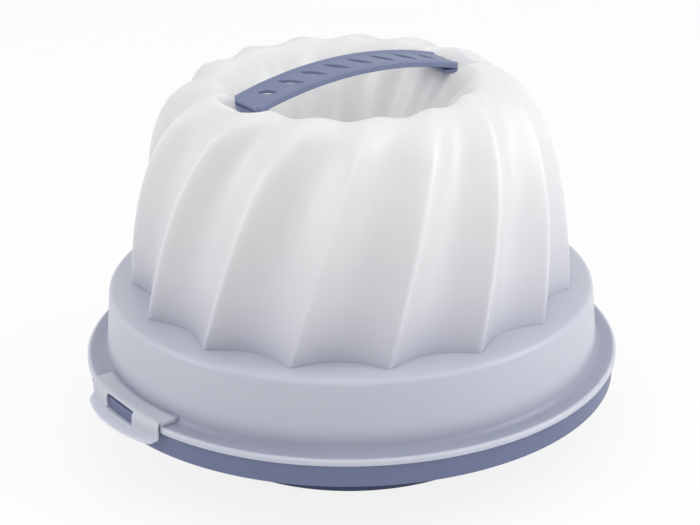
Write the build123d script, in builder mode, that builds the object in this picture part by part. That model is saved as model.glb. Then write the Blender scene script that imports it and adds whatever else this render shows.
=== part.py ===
"""A round carrier for a ring cake: a tray on a foot ring, a hood moulded in the twisted,
fluted shape of the cake, two snap clips moulded onto the hood's hem, and a carrying handle.

Millimetres. The origin is the middle of the foot ring on the table, +Z is up, and the two
clips and the handle lie along X.
"""

import os
from math import cos, pi, radians, sin, sqrt, tan

from build123d import *

# ---------------------------------------------------------------- driving dimensions
# Clearances
SEAT_GAP = 0.3  # curved faces of two mouldings that sit beside each other
SLIDE_GAP = 0.5  # a lug in its window, a tongue in its slot
FILM_GAP = 0.15  # half the width of the score line that the clip folds on
CURB_GAP = 0.6  # between the tray's curb and the inside of the hood's band

# The hem is the widest part of the round; the radii of all that meets it follow from it.
HEM_RADIUS = 155.0

# Tray
FOOT_HEIGHT = 33.4
FOOT_RADIUS = 97.3
FOOT_DRAFT = 10.7  # the foot ring widens by this much up to the deck
TRAY_WALL = 2.0
TRAY_RIM_HEIGHT = 15.0
TRAY_INSET = 2.0  # the tray's rim lies this far inside the hem's outer face
TRAY_EDGE_BREAK = 0.6
DECK_DROP = 3.9  # the cake deck lies this far below the rim
CURB_HEIGHT = 7.0  # a low curb on the deck that centres the hood from inside

# Hood: hem, flange and band
HOOD_WALL = 1.5
HEM_HEIGHT = 3.6
FLANGE_THICK = 1.7
FLANGE_WIDTH = 11.6  # from the hem's outer face to the foot of the band
BAND_DRAFT = 3.2  # the band leans in by this much from flange to shoulder
BAND_HEIGHT = 42.5  # from the lower edge of the hem to the shoulder
SHOULDER_BREAK = 1.6
FLANGE_BREAK = 2.6

# Hood: the fluted dome, whose ridges run up the wall, over the crest and down the well
FLUTES = 15
FLUTE_STRIPS = 5  # each flute is this many strips, straight across and curved upwards
FLUTE_PHASE = 4.5  # degrees from +X to the first ridge at the shoulder
WALL_TWIST = 26.0  # degrees that a ridge turns from the shoulder to the crest
WELL_TWIST = 14.0
SHELF_WIDTH = 12.8  # from the shoulder to the ridges' feet
RIDGE_LEAN = 2.1
RIDGE_RISE = 68.0  # how far up the ridge starts to bend in
CREST_RADIUS = 75.0
CREST_HEIGHT = 164.9  # above the lower edge of the hem
CREST_REACH = 37.0  # how far outside the crest the dome starts to level out
WELL_REACH = 10.5  # the same on the side of the well
WELL_RADIUS = 42.0
WELL_TAPER = 5.0
WELL_DEPTH = 66.0
FLUTE_FOOT_DEPTH = 11.5
FLUTE_WAIST_DEPTH = 12.0
FLUTE_BROW_DEPTH = 12.0
FLUTE_CREST_DROP = 2.0
FLUTE_WELL_DEPTH = 2.5
WAIST_SHARPNESS = 0.7  # a ridge is sharp at 1, as at its foot, and round at 0, as at the crest
BROW_SHARPNESS = 0.25

# Clips
CLIP_WIDTH = 71.0
CLIP_RISE = 3.4  # the clip's top stands this far above the flange
CLIP_STANDOUT = 2.3  # the clip's wall stands this far outside the hem
CLIP_WALL = 1.6
CLIP_BEND_ROUND = 4.0
HINGE_INSET = 4.5  # from the hem's outer face to the score line
HINGE_SKIN = 0.2  # what the score line leaves of the wall
CLIP_PRESS = 8.0  # degrees that the clip is pressed in to catch
PRESS_SPARE = 4.0
SLOT_WIDTH = 1.2  # between the clip and the ends of the hem
WINDOW_WIDTH = 29.0
WINDOW_SILL = 2.3  # the window starts this far below the hem
WINDOW_INSET = 2.5  # and opens up through the bend, from here outwards
LIP_LENGTH = 6.7
LIP_WIDTH = 68.0
LIP_BOW = 7.0  # its middle stands out from its corners by this much
LIP_DROP = 2.0
LIP_WALL = 1.5
LUG_SILL = 2.1  # the lug starts this far below the hem
LUG_HEADROOM = 1.6

# Handle
HANDLE_LENGTH = 134.0  # between its corners
HANDLE_BULGE = 4.0  # its ends are rounded outwards by this much
HANDLE_WIDTH = 26.4
HANDLE_RISE = 7.8  # its middle stands this far above the crest
HANDLE_SAG = 9.6  # its corners lie this far below its middle
HANDLE_DEPTH = 4.0
HANDLE_WALL = 1.8
HANDLE_RIM = 2.6  # the rounded rim along each long side
HANDLE_DISH = 0.9  # the grip lies this far below the rims
RIM_ROUND = 0.8
GRIP_SLOTS = 8
GRIP_SLOT_PITCH = 15.4
GRIP_SLOT_LENGTH = 18.0
GRIP_SLOT_WIDTH = 3.8
GRIP_SLOT_SHORTER = 5.0  # the two end slots are shorter by this much
GRIP_SLOT_SLANT = 30.0
PAD_LENGTH = 7.5  # the solid foot under each end, from the corners inwards
PAD_HEIGHT = 0.8
SEAT_MARGIN = 2.0  # beside the handle's ends
SEAT_FRONT = 4.0  # beyond the handle's ends
SEAT_BACK = 20.0  # from the handle's corners towards the well
SEAT_CORNER = 4.0
SEAT_SLOPE = 40.0  # degrees by which the sides of the seats lean outwards as they rise
TONGUE_THICK = 3.0
TONGUE_WIDTH = 12.0
BARB = 1.0
BARB_HEIGHT = 2.5

TINY = 0.01  # tells one edge from another

# ---------------------------------------------------------------- sizes that follow
RIM_Z = FOOT_HEIGHT + TRAY_RIM_HEIGHT
DECK_Z = RIM_Z - DECK_DROP
FLANGE_Z = RIM_Z + FLANGE_THICK
HEM_Z = FLANGE_Z - HEM_HEIGHT
SHELF_Z = HEM_Z + BAND_HEIGHT
CREST_Z = HEM_Z + CREST_HEIGHT
WELL_FLOOR_Z = CREST_Z - WELL_DEPTH
CLIP_TOP_Z = FLANGE_Z + CLIP_RISE
HINGE_Z = CLIP_TOP_Z - HINGE_SKIN
SILL_Z = HEM_Z - WINDOW_SILL
TRAY_RIM_RADIUS = HEM_RADIUS - TRAY_INSET
BAND_RADIUS = HEM_RADIUS - FLANGE_WIDTH
BAND_TOP_RADIUS = BAND_RADIUS - BAND_DRAFT
RIDGE_FOOT_RADIUS = BAND_TOP_RADIUS - SHELF_WIDTH
CLIP_RADIUS = HEM_RADIUS + CLIP_STANDOUT
CLIP_INNER_RADIUS = CLIP_RADIUS - CLIP_WALL
WINDOW_REACH = CLIP_RADIUS - WINDOW_INSET
LIP_REACH = CLIP_RADIUS + LIP_LENGTH
HINGE_REACH = HEM_RADIUS - HINGE_INSET
CURB_RADIUS = BAND_RADIUS - HOOD_WALL - CURB_GAP
FOOT_TOP_RADIUS = FOOT_RADIUS + FOOT_DRAFT

HANDLE_TOP_Z = CREST_Z + HANDLE_RISE
HALF_HANDLE = HANDLE_LENGTH / 2
HANDLE_BEND = (HALF_HANDLE**2 + HANDLE_SAG**2) / (2 * HANDLE_SAG)
HANDLE_END = HALF_HANDLE + HANDLE_BULGE
HANDLE_END_SAG = HANDLE_BEND - sqrt(HANDLE_BEND**2 - HANDLE_END**2)
SEAT_Z = HANDLE_TOP_Z - HANDLE_END_SAG - HANDLE_DEPTH - PAD_HEIGHT

os.makedirs("parts", exist_ok=True)


# ---------------------------------------------------------------- the fluted dome
def polar(radius, angle, height):
    """A point at a radius and an angle in degrees about the carrier's axis."""
    return Vector(radius * cos(radians(angle)), radius * sin(radians(angle)), height)


def hollow(share, sharpness):
    """The share of its full depth that a flute has, a share of the way from ridge to ridge."""
    return sharpness * 4 * share * (1 - share) + (1 - sharpness) * sin(pi * share) ** 2


def flute_faces(inset, base_z):
    """The faces of the wall and of the well, strip by strip, all round.

    A rib is a cubic Bezier curve up the wall and another down the well. A face lies between
    each rib and the next. inset moves the skin into the wall, for the inside of the hood.
    """
    step = 360 / FLUTES
    slack = 0.55 * inset  # a bend of a smaller radius has shorter arms
    brow_radius = CREST_RADIUS + CREST_REACH - slack
    crest_z = CREST_Z - inset
    # each row: ridge radius, height, depth of the hollow, its drop, the twist so far, sharpness
    wall_rows = [
        (RIDGE_FOOT_RADIUS - inset, base_z, FLUTE_FOOT_DEPTH, 0, 0, 1),
        (
            RIDGE_FOOT_RADIUS - RIDGE_LEAN - inset,
            SHELF_Z + RIDGE_RISE - slack,
            FLUTE_WAIST_DEPTH,
            0,
            WALL_TWIST / 3,
            WAIST_SHARPNESS,
        ),
        (brow_radius, crest_z, FLUTE_BROW_DEPTH, FLUTE_CREST_DROP, WALL_TWIST * 2 / 3, BROW_SHARPNESS),
        (CREST_RADIUS, crest_z, 0, FLUTE_CREST_DROP, WALL_TWIST, 0),
    ]
    well_rows = [
        (
            WELL_RADIUS + WELL_TAPER + inset,
            CREST_Z - WELL_DEPTH / 3 - inset,
            -FLUTE_WELL_DEPTH,
            0,
            WALL_TWIST + WELL_TWIST / 2,
            0,
        ),
        (WELL_RADIUS + inset, WELL_FLOOR_Z - inset, -FLUTE_WELL_DEPTH, 0, WALL_TWIST + WELL_TWIST, 0),
    ]

    def poles(rows, angle, share):
        return [
            polar(
                radius - depth * hollow(share, sharpness),
                angle + twist,
                height - drop * hollow(share, sharpness),
            )
            for radius, height, depth, drop, twist, sharpness in rows
        ]

    ribs = []
    for strip in range(FLUTES * FLUTE_STRIPS):
        angle = FLUTE_PHASE + strip * step / FLUTE_STRIPS
        share = strip % FLUTE_STRIPS / FLUTE_STRIPS
        wall = poles(wall_rows, angle, share)
        brow, crest = wall[-2:]
        # the well leaves the crest in the direction in which the wall arrived
        over = crest + (crest - brow) * (WELL_REACH / CREST_REACH)
        ribs.append((wall, [crest, over] + poles(well_rows, angle, share)))
    faces = []
    for rib, following in zip(ribs, ribs[1:] + ribs[:1]):
        for curve, next_curve in zip(rib, following):
            faces.append(Face.make_bezier_surface(list(zip(curve, next_curve))))
    return faces


def fluted_plug(inset, base_z):
    """The solid inside one skin of the dome, closed by a flat base and a flat well floor."""
    faces = flute_faces(inset, base_z)
    edges = ShapeList(edge for face in faces for edge in face.edges())
    floor_z = WELL_FLOOR_Z - inset
    for level in (base_z, floor_z):
        rim = edges.filter_by(
            lambda edge: abs(edge.bounding_box().min.Z - level) < TINY
            and abs(edge.bounding_box().max.Z - level) < TINY
        )
        faces.append(Face(Wire(rim)))
    return Solid(Shell(faces))


def seat_plan(margin):
    """The plan of the two seats that the handle stands in, widened by a margin."""
    inner = HALF_HANDLE - SEAT_BACK - margin
    outer = HANDLE_END + SEAT_FRONT + margin
    middle = (inner + outer) / 2
    with BuildSketch() as plan:
        with Locations((middle, 0), (-middle, 0)):
            RectangleRounded(
                outer - inner, HANDLE_WIDTH + 2 * (SEAT_MARGIN + margin), SEAT_CORNER + margin
            )
    return plan.sketch


# ---------------------------------------------------------------- tray
with BuildPart() as base_tray:
    with BuildSketch(Plane.XZ):
        with BuildLine():
            Polyline(
                (0, DECK_Z),
                (CURB_RADIUS - TRAY_WALL, DECK_Z),
                (CURB_RADIUS - TRAY_WALL, DECK_Z + CURB_HEIGHT),
                (CURB_RADIUS, DECK_Z + CURB_HEIGHT),
                (CURB_RADIUS, DECK_Z),
                (TRAY_RIM_RADIUS - TRAY_WALL, DECK_Z),
                (TRAY_RIM_RADIUS - TRAY_WALL, RIM_Z),
                (TRAY_RIM_RADIUS, RIM_Z),
                (TRAY_RIM_RADIUS, FOOT_HEIGHT),
                (TRAY_RIM_RADIUS - TRAY_WALL, FOOT_HEIGHT),
                (TRAY_RIM_RADIUS - TRAY_WALL, DECK_Z - TRAY_WALL),
                (FOOT_TOP_RADIUS, DECK_Z - TRAY_WALL),
                (FOOT_RADIUS, 0),
                (FOOT_RADIUS - TRAY_WALL, 0),
                (FOOT_TOP_RADIUS - TRAY_WALL, DECK_Z - TRAY_WALL),
                (0, DECK_Z - TRAY_WALL),
                close=True,
            )
        make_face()
    revolve(axis=Axis.Z)
    round_edges = base_tray.edges().filter_by(GeomType.CIRCLE)
    rim_edges = round_edges.filter_by(lambda edge: edge.radius > TRAY_RIM_RADIUS - TINY)
    chamfer(rim_edges.sort_by(Axis.Z)[0], TRAY_EDGE_BREAK)
    # On each side a lug stands on the rim, inside the clip, and reaches out to its window.
    with BuildSketch(Plane.XY.offset(HEM_Z - LUG_SILL)):
        Rectangle(2 * CLIP_RADIUS, WINDOW_WIDTH - 2 * SLIDE_GAP)
        Circle(CLIP_INNER_RADIUS - SEAT_GAP, mode=Mode.INTERSECT)
        Circle(TRAY_RIM_RADIUS - TRAY_WALL, mode=Mode.SUBTRACT)
    extrude(amount=CLIP_TOP_Z - CLIP_WALL - LUG_HEADROOM - (HEM_Z - LUG_SILL))
base_tray.part.label = "base_tray"

# ---------------------------------------------------------------- hood
with BuildPart() as cavity:
    add(fluted_plug(HOOD_WALL, SHELF_Z - 3 * HOOD_WALL))
    # The wall stays whole under the two seats of the handle.
    with BuildSketch(Plane.XY.offset(SEAT_Z - HOOD_WALL)):
        add(seat_plan(HOOD_WALL))
    extrude(amount=HANDLE_TOP_Z - SEAT_Z, taper=-SEAT_SLOPE, mode=Mode.SUBTRACT)

with BuildPart() as hood:
    with BuildSketch(Plane.XZ):
        with BuildLine():
            Polyline(
                (WELL_RADIUS, SHELF_Z),
                (BAND_TOP_RADIUS, SHELF_Z),
                (BAND_RADIUS, FLANGE_Z),
                (HEM_RADIUS, FLANGE_Z),
                (HEM_RADIUS, HEM_Z),
                (TRAY_RIM_RADIUS + SEAT_GAP, HEM_Z),
                (TRAY_RIM_RADIUS + SEAT_GAP, RIM_Z),
                (BAND_RADIUS - HOOD_WALL, RIM_Z),
                (BAND_TOP_RADIUS - HOOD_WALL, SHELF_Z - HOOD_WALL),
                (WELL_RADIUS, SHELF_Z - HOOD_WALL),
                close=True,
            )
        make_face()
    revolve(axis=Axis.Z)
    round_edges = hood.edges().filter_by(GeomType.CIRCLE)
    shoulder = round_edges.filter_by(lambda edge: abs(edge.radius - BAND_TOP_RADIUS) < TINY)
    chamfer(shoulder, SHOULDER_BREAK)
    band_foot = round_edges.filter_by(lambda edge: abs(edge.radius - BAND_RADIUS) < TINY)
    chamfer(band_foot, FLANGE_BREAK)
    # The clips' housings: first the flange is opened under them and the hem cut away.
    with BuildSketch(Plane.XY.offset(HEM_Z)):
        Rectangle(2 * HINGE_REACH, CLIP_WIDTH - 2 * HOOD_WALL)
        Circle(BAND_RADIUS, mode=Mode.SUBTRACT)
    extrude(amount=CLIP_TOP_Z - CLIP_WALL - HEM_Z, mode=Mode.SUBTRACT)
    with BuildSketch(Plane.XY.offset(HEM_Z)):
        Rectangle(2 * LIP_REACH, CLIP_WIDTH + 2 * SLOT_WIDTH)
        Rectangle(2 * (HINGE_REACH - FILM_GAP), HEM_RADIUS, mode=Mode.SUBTRACT)
    extrude(amount=FLANGE_Z - HEM_Z, mode=Mode.SUBTRACT)
    # Then the raised top and the two end walls of each housing go on.
    with BuildSketch(Plane.XY.offset(CLIP_TOP_Z - CLIP_WALL)):
        Rectangle(2 * (HINGE_REACH - FILM_GAP), CLIP_WIDTH)
        Circle(BAND_RADIUS - HOOD_WALL / 2, mode=Mode.SUBTRACT)
    extrude(amount=CLIP_WALL)
    with BuildSketch(Plane.XY.offset(RIM_Z)):
        with Locations((0, (CLIP_WIDTH - HOOD_WALL) / 2), (0, (HOOD_WALL - CLIP_WIDTH) / 2)):
            Rectangle(2 * (HINGE_REACH - FILM_GAP), HOOD_WALL)
        Circle(BAND_RADIUS - HOOD_WALL / 2, mode=Mode.SUBTRACT)
    extrude(amount=CLIP_TOP_Z - CLIP_WALL / 2 - RIM_Z)
    # The dome, with its seats for the handle, is hollowed by the same dome one wall smaller.
    add(fluted_plug(0, SHELF_Z - HOOD_WALL))
    with BuildSketch(Plane.XY.offset(SEAT_Z)):
        add(seat_plan(0))
    extrude(amount=HANDLE_TOP_Z - SEAT_Z, taper=-SEAT_SLOPE, mode=Mode.SUBTRACT)
    add(cavity.part, mode=Mode.SUBTRACT)
    # Each seat has a slot for the snap tongue.
    with BuildSketch(Plane.XY.offset(SEAT_Z - 2 * HOOD_WALL)):
        with Locations((HALF_HANDLE, 0), (-HALF_HANDLE, 0)):
            Rectangle(TONGUE_THICK + 2 * SEAT_GAP, TONGUE_WIDTH + 2 * SLIDE_GAP)
    extrude(amount=3 * HOOD_WALL, mode=Mode.SUBTRACT)
hood.part.label = "hood"

# ---------------------------------------------------------------- clips
with BuildPart() as right_clip:
    with BuildSketch(Plane.XZ) as profile:
        with BuildLine():
            Polyline(
                (BAND_RADIUS, CLIP_TOP_Z),
                (CLIP_RADIUS, CLIP_TOP_Z),
                (CLIP_RADIUS, SILL_Z),
                (LIP_REACH, SILL_Z - LIP_DROP),
                (LIP_REACH, SILL_Z - LIP_DROP - LIP_WALL),
                (CLIP_INNER_RADIUS, SILL_Z - LIP_WALL),
                (CLIP_INNER_RADIUS, CLIP_TOP_Z - CLIP_WALL),
                (BAND_RADIUS, CLIP_TOP_Z - CLIP_WALL),
                close=True,
            )
        make_face()
        outer_bend = profile.vertices().group_by(Axis.Y)[-1].sort_by(Axis.X)[-1]
        inner_bend = profile.vertices().group_by(Axis.Y)[-2].sort_by(Axis.X)[-1]
        fillet(outer_bend, CLIP_BEND_ROUND)
        fillet(inner_bend, CLIP_BEND_ROUND - CLIP_WALL)
    revolve(axis=Axis.Z)
    # Across the score line the wall leans back, so that the clip can fold inwards.
    lean = (HINGE_Z - CLIP_TOP_Z + CLIP_BEND_ROUND) * tan(radians(CLIP_PRESS + PRESS_SPARE))
    with BuildSketch(Plane.XZ):
        with BuildLine():
            Polyline(
                (HINGE_REACH + FILM_GAP, CLIP_TOP_Z),
                (HINGE_REACH + FILM_GAP, HINGE_Z),
                (HINGE_REACH + FILM_GAP + lean, CLIP_TOP_Z - CLIP_BEND_ROUND),
                (HINGE_REACH + FILM_GAP + lean, 0),
                (LIP_REACH, 0),
                (LIP_REACH, CLIP_TOP_Z),
                close=True,
            )
        make_face()
    extrude(amount=CLIP_WIDTH, both=True, mode=Mode.INTERSECT)
    # The lip's edge is bowed, and the lip is a little narrower than the clip.
    lip_bend = ((LIP_WIDTH / 2) ** 2 + LIP_BOW**2) / (2 * LIP_BOW)
    with BuildSketch():
        with Locations((LIP_REACH - lip_bend, 0)):
            Circle(lip_bend)
        Rectangle(2 * LIP_REACH, LIP_WIDTH, mode=Mode.INTERSECT)
        Circle(CLIP_RADIUS)
        Rectangle(2 * LIP_REACH, CLIP_WIDTH, mode=Mode.INTERSECT)
    extrude(amount=CLIP_TOP_Z, mode=Mode.INTERSECT)
    with BuildSketch(Plane.XY.offset(SILL_Z)):
        with Locations((WINDOW_REACH, 0)):
            Rectangle(LIP_REACH, WINDOW_WIDTH, align=(Align.MIN, Align.CENTER))
    extrude(amount=CLIP_TOP_Z - SILL_Z, mode=Mode.SUBTRACT)
right_clip.part.label = "right_clip"

with BuildPart() as left_clip:
    add(right_clip.part, rotation=(0, 0, 180))
left_clip.part.label = "left_clip"


# ---------------------------------------------------------------- handle
def grip_slot(length):
    """A slot pointed at both ends, along Y."""
    with BuildSketch() as slot:
        with BuildLine():
            ThreePointArc((0, length / 2), (GRIP_SLOT_WIDTH / 2, 0), (0, -length / 2))
            ThreePointArc((0, -length / 2), (-GRIP_SLOT_WIDTH / 2, 0), (0, length / 2))
        make_face()
    return slot.sketch


with BuildSketch() as handle_plan:
    with BuildLine():
        Polyline((-HALF_HANDLE, HANDLE_WIDTH / 2), (HALF_HANDLE, HANDLE_WIDTH / 2))
        ThreePointArc(
            (HALF_HANDLE, HANDLE_WIDTH / 2), (HANDLE_END, 0), (HALF_HANDLE, -HANDLE_WIDTH / 2)
        )
        Polyline((HALF_HANDLE, -HANDLE_WIDTH / 2), (-HALF_HANDLE, -HANDLE_WIDTH / 2))
        ThreePointArc(
            (-HALF_HANDLE, -HANDLE_WIDTH / 2), (-HANDLE_END, 0), (-HALF_HANDLE, HANDLE_WIDTH / 2)
        )
    make_face()

with BuildPart() as handle:
    # The handle is a channel with a rounded rim along each side, bent to an arc.
    top = HANDLE_TOP_Z
    grip = HANDLE_TOP_Z - HANDLE_DISH
    foot = HANDLE_TOP_Z - HANDLE_DEPTH
    with BuildSketch(Plane.YZ) as channel:
        with BuildLine():
            Polyline(
                (0, grip),
                (HANDLE_WIDTH / 2 - HANDLE_RIM, grip),
                (HANDLE_WIDTH / 2 - HANDLE_RIM + HANDLE_DISH, top),
                (HANDLE_WIDTH / 2, top),
                (HANDLE_WIDTH / 2, foot),
                (HANDLE_WIDTH / 2 - HANDLE_WALL, foot),
                (HANDLE_WIDTH / 2 - HANDLE_WALL, grip - HANDLE_WALL),
                (0, grip - HANDLE_WALL),
                close=True,
            )
        make_face()
        mirror(about=Plane.YZ)
        corners = channel.vertices().group_by(Axis.Y)[-1].sort_by(Axis.X)
        fillet(corners[0:1] + corners[-1:], RIM_ROUND)
    revolve(axis=Axis((0, 0, HANDLE_TOP_Z - HANDLE_BEND), (0, 1, 0)))
    with BuildSketch(Plane.XY.offset(SEAT_Z)):
        add(handle_plan.sketch)
    extrude(amount=HANDLE_TOP_Z - SEAT_Z, mode=Mode.INTERSECT)
    # A foot under each end reaches down to the floor of its seat.
    with BuildSketch(Plane.XY.offset(SEAT_Z)):
        with GridLocations(HALF_HANDLE + HANDLE_END - PAD_LENGTH, 0, 2, 1):
            Rectangle(HANDLE_BULGE + PAD_LENGTH, HANDLE_WIDTH - 2 * HANDLE_WALL)
        add(handle_plan.sketch, mode=Mode.INTERSECT)
    extrude(until=Until.NEXT)
    with BuildSketch(Plane.XY.offset(SEAT_Z)):
        with GridLocations(GRIP_SLOT_PITCH, 0, GRIP_SLOTS - 2, 1):
            add(grip_slot(GRIP_SLOT_LENGTH), rotation=GRIP_SLOT_SLANT)
        with GridLocations(GRIP_SLOT_PITCH * (GRIP_SLOTS - 1), 0, 2, 1):
            add(grip_slot(GRIP_SLOT_LENGTH - GRIP_SLOT_SHORTER), rotation=GRIP_SLOT_SLANT)
    extrude(amount=HANDLE_TOP_Z - SEAT_Z, mode=Mode.SUBTRACT)
    # A barbed tongue under each foot snaps through the floor of the seat.
    barb_z = SEAT_Z - HOOD_WALL - SEAT_GAP
    with BuildSketch(Plane.XZ.offset(-TONGUE_WIDTH / 2)) as tongues:
        with BuildLine():
            Polyline(
                (HALF_HANDLE - TONGUE_THICK / 2, SEAT_Z),
                (HALF_HANDLE + TONGUE_THICK / 2, SEAT_Z),
                (HALF_HANDLE + TONGUE_THICK / 2, barb_z),
                (HALF_HANDLE + TONGUE_THICK / 2 + BARB, barb_z),
                (HALF_HANDLE + TONGUE_THICK / 2, barb_z - BARB_HEIGHT),
                (HALF_HANDLE - TONGUE_THICK / 2, barb_z - BARB_HEIGHT),
                close=True,
            )
        make_face()
        mirror(about=Plane.YZ)
    extrude(amount=TONGUE_WIDTH)
handle.part.label = "handle"

# ---------------------------------------------------------------- files
export_step(base_tray.part, "parts/base_tray.step")
export_step(hood.part, "parts/hood.step")
export_step(right_clip.part, "parts/right_clip.step")
export_step(left_clip.part, "parts/left_clip.step")
export_step(handle.part, "parts/handle.step")
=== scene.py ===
"""A round carrier for a ring cake: milky fluted hood, blue tray, two snap clips and a handle."""

from math import asin, cos, pi, radians, sin, sqrt, tan

import bmesh
import bpy
from mathutils import Matrix, Vector


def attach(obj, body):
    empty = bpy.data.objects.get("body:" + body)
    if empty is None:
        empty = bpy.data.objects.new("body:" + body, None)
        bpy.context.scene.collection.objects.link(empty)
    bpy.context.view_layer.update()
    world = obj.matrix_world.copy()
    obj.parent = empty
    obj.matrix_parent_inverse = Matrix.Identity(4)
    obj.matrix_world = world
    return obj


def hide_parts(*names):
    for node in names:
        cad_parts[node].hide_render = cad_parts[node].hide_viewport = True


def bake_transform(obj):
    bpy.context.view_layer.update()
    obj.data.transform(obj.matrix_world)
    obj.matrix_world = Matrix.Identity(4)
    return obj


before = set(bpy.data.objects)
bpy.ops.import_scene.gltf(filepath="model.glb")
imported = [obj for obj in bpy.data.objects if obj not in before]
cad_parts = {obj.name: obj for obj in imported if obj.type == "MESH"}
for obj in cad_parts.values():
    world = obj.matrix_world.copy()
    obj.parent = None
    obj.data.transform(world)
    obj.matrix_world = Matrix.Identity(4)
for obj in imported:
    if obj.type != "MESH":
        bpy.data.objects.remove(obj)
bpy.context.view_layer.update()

# ---------------------------------------------------------------- the hood
# One thin injection moulding in milky polypropylene, shaped like the ring cake it covers.
# Fifteen ridges wind up the wall, over the crest and down the middle well. Below them are a
# flat shelf, a leaning band, a flange and a rolled hem that hangs over the tray's rim.
hem_z = 0.0465
rim_z = 0.0484
flange_z = 0.0501
shelf_z = 0.0890
crest_z = 0.2114
well_floor_z = 0.1454
hood_wall = 0.0015
hem_radius = 0.1550
tray_rim_radius = 0.1530
band_radius = 0.1434
band_top_radius = 0.1402
shelf_edge = 0.1310
hem_clearance = 0.0003
clip_top_z = 0.0535
clip_wall = 0.0016
hinge_reach = 0.1505
film_gap = 0.00015
clip_half = 0.0355
housing_reach = 0.1600
hollow_reach = 0.1650
hollow_low_z = 0.0440
notch_half = 0.0367
cut_reach = 0.1700
cut_low_z = 0.0400
cut_high_z = 0.0600
seat_z = 0.2036
seat_inner = 0.0470
seat_outer = 0.0750
seat_half_width = 0.0152
seat_corner = 0.0040
tongue_middle = 0.0670
tongue_slot_half = 0.0018
flutes = 15


class Wire:
    """A socket of a node tree. Arithmetic on it adds Math nodes to the tree."""

    def __init__(self, tree, socket=None):
        self.tree = tree
        self.socket = socket

    def node(self, kind, settings, inputs, output=0):
        """Adds a node: its settings first, then the values or wires of its inputs."""
        made = self.tree.nodes.new(kind)
        for name, value in settings.items():
            if name == "stops":
                ramp = made.color_ramp.elements
                while len(ramp) < len(value):
                    ramp.new(1.0)
                for stop, (place, colour) in zip(ramp, value):
                    stop.position = place
                    stop.color = (*colour, 1.0)
            else:
                setattr(made, name, value)
        for name, value in inputs.items():
            if isinstance(value, Wire):
                self.tree.links.new(value.socket, made.inputs[name])
            else:
                made.inputs[name].default_value = value
        return Wire(self.tree, made.outputs[output])

    def maths(self, operation, *values):
        return self.node("ShaderNodeMath", {"operation": operation}, dict(enumerate(values)))

    def __add__(self, other):
        return self.maths("ADD", self, other)

    def __radd__(self, other):
        return self.maths("ADD", other, self)

    def __sub__(self, other):
        return self.maths("SUBTRACT", self, other)

    def __rsub__(self, other):
        return self.maths("SUBTRACT", other, self)

    def __mul__(self, other):
        return self.maths("MULTIPLY", self, other)

    def __rmul__(self, other):
        return self.maths("MULTIPLY", other, self)

    def __truediv__(self, other):
        return self.maths("DIVIDE", self, other)

    def __pow__(self, other):
        return self.maths("POWER", self, other)


def rounded(corners, steps=5):
    """The points of a line whose corners (radius, height, rounding) are rounded off."""
    points = []
    for place, (x, z, rounding) in enumerate(corners):
        here = Vector((x, z))
        if not rounding:
            points.append(here)
            continue
        to_last = (Vector(corners[place - 1][:2]) - here).normalized()
        to_next = (Vector(corners[(place + 1) % len(corners)][:2]) - here).normalized()
        half = to_last.angle(to_next) / 2
        start = here + to_last * (rounding / tan(half))
        centre = here + (to_last + to_next).normalized() * (rounding / sin(half))
        arm = start - centre
        turn = (pi - 2 * half) * (1 if to_last.cross(to_next) < 0 else -1)
        for step in range(steps + 1):
            spin = Matrix.Rotation(turn * step / steps, 2)
            points.append(centre + spin @ arm)
    return points


def section_mesh(name, points):
    """A line of points, radius along X and height along Z."""
    mesh = bpy.data.meshes.new(name)
    joints = [(place, place + 1) for place in range(len(points) - 1)]
    mesh.from_pydata([(point.x, 0, point.y) for point in points], joints, [])
    return mesh


dome_tree = bpy.data.node_groups.new("fluted_dome", "GeometryNodeTree")
dome_inputs = {
    "Section": ("NodeSocketGeometry", None),
    "Flutes": ("NodeSocketInt", flutes),
    "Columns in a flute": ("NodeSocketInt", 20),
    "Section points": ("NodeSocketInt", 2),
    "Wall rows": ("NodeSocketInt", 50),
    "Well rows": ("NodeSocketInt", 26),
    "Phase": ("NodeSocketFloat", radians(4.5)),
    "Wall twist": ("NodeSocketFloat", radians(26.0)),
    "Well twist": ("NodeSocketFloat", radians(14.0)),
    "Shelf edge": ("NodeSocketFloat", shelf_edge),
    "Shelf height": ("NodeSocketFloat", shelf_z),
    "Foot radius": ("NodeSocketFloat", 0.1274),
    "Lean": ("NodeSocketFloat", 0.0021),
    "Rise": ("NodeSocketFloat", 0.0680),
    "Crest radius": ("NodeSocketFloat", 0.0750),
    "Crest height": ("NodeSocketFloat", crest_z),
    "Crest reach": ("NodeSocketFloat", 0.0370),
    "Well reach": ("NodeSocketFloat", 0.0105),
    "Well radius": ("NodeSocketFloat", 0.0420),
    "Well taper": ("NodeSocketFloat", 0.0050),
    "Well depth": ("NodeSocketFloat", crest_z - well_floor_z),
    "Foot hollow": ("NodeSocketFloat", 0.0115),
    "Waist hollow": ("NodeSocketFloat", 0.0120),
    "Brow hollow": ("NodeSocketFloat", 0.0120),
    "Crest drop": ("NodeSocketFloat", 0.0020),
    "Well hollow": ("NodeSocketFloat", 0.0025),
    "Ridge rounding": ("NodeSocketFloat", 0.10),
    "Waist sharpness": ("NodeSocketFloat", 0.70),
    "Brow sharpness": ("NodeSocketFloat", 0.25),
    "Inset": ("NodeSocketFloat", 0.0),
    "Material": ("NodeSocketMaterial", None),
}
dome_keys = {}
for name, (kind, value) in dome_inputs.items():
    socket = dome_tree.interface.new_socket(name, in_out="INPUT", socket_type=kind)
    dome_keys[name] = socket.identifier
    if value is not None:
        socket.default_value = value
dome_tree.interface.new_socket("Mesh", in_out="OUTPUT", socket_type="NodeSocketGeometry")
dome = Wire(dome_tree)
size = {name: dome.node("NodeGroupInput", {}, {}, name) for name in dome_inputs}
columns = size["Flutes"] * size["Columns in a flute"]
spot = dome.node("GeometryNodeInputPosition", {}, {})
across = dome.node("ShaderNodeSeparateXYZ", {}, {"Vector": spot}, "X") + 0.5
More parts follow.
